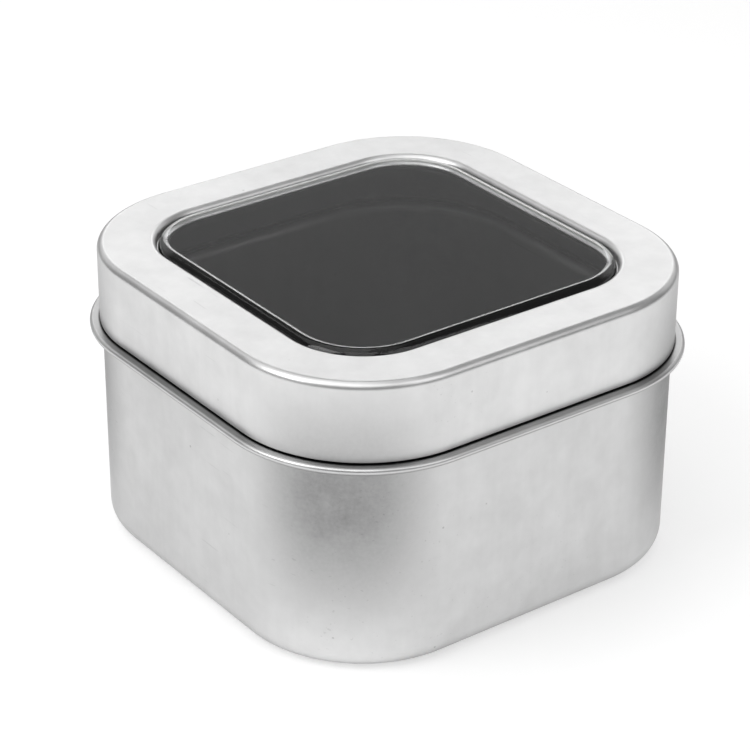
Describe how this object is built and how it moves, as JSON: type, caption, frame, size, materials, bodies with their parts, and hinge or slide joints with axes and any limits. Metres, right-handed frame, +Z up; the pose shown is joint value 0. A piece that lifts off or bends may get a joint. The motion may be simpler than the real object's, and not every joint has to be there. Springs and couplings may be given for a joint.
{
  "type": "window lid tin",
  "caption": "Square drawn tin with rounded corners and a slip lid that lifts off; a clear pane set in the lid shows what is kept inside.",
  "frame": {"origin": "centre of the base, on the surface that the tin stands on", "axes": "+Z up through the middle of the lid's window; X and Y square to the flat sides"},
  "size_m": [0.0834, 0.0834, 0.051],
  "materials": {
    "tinplate": "satin tinplate, uncoated",
    "clear_plastic": "clear, glossy",
    "glue": "translucent, dull"
  },
  "bodies": {
    "tin": {"tin_body": "tinplate"},
    "lid": {"lid_shell": "tinplate", "window_pane": "clear_plastic", "glue_bead": "glue"}
  },
  "joints": [
    {"name": "lid_lift", "type": "slide", "parent": "tin", "child": "lid", "axis": [0, 0, 1], "range_m": [0, 0.04]}
  ]
}
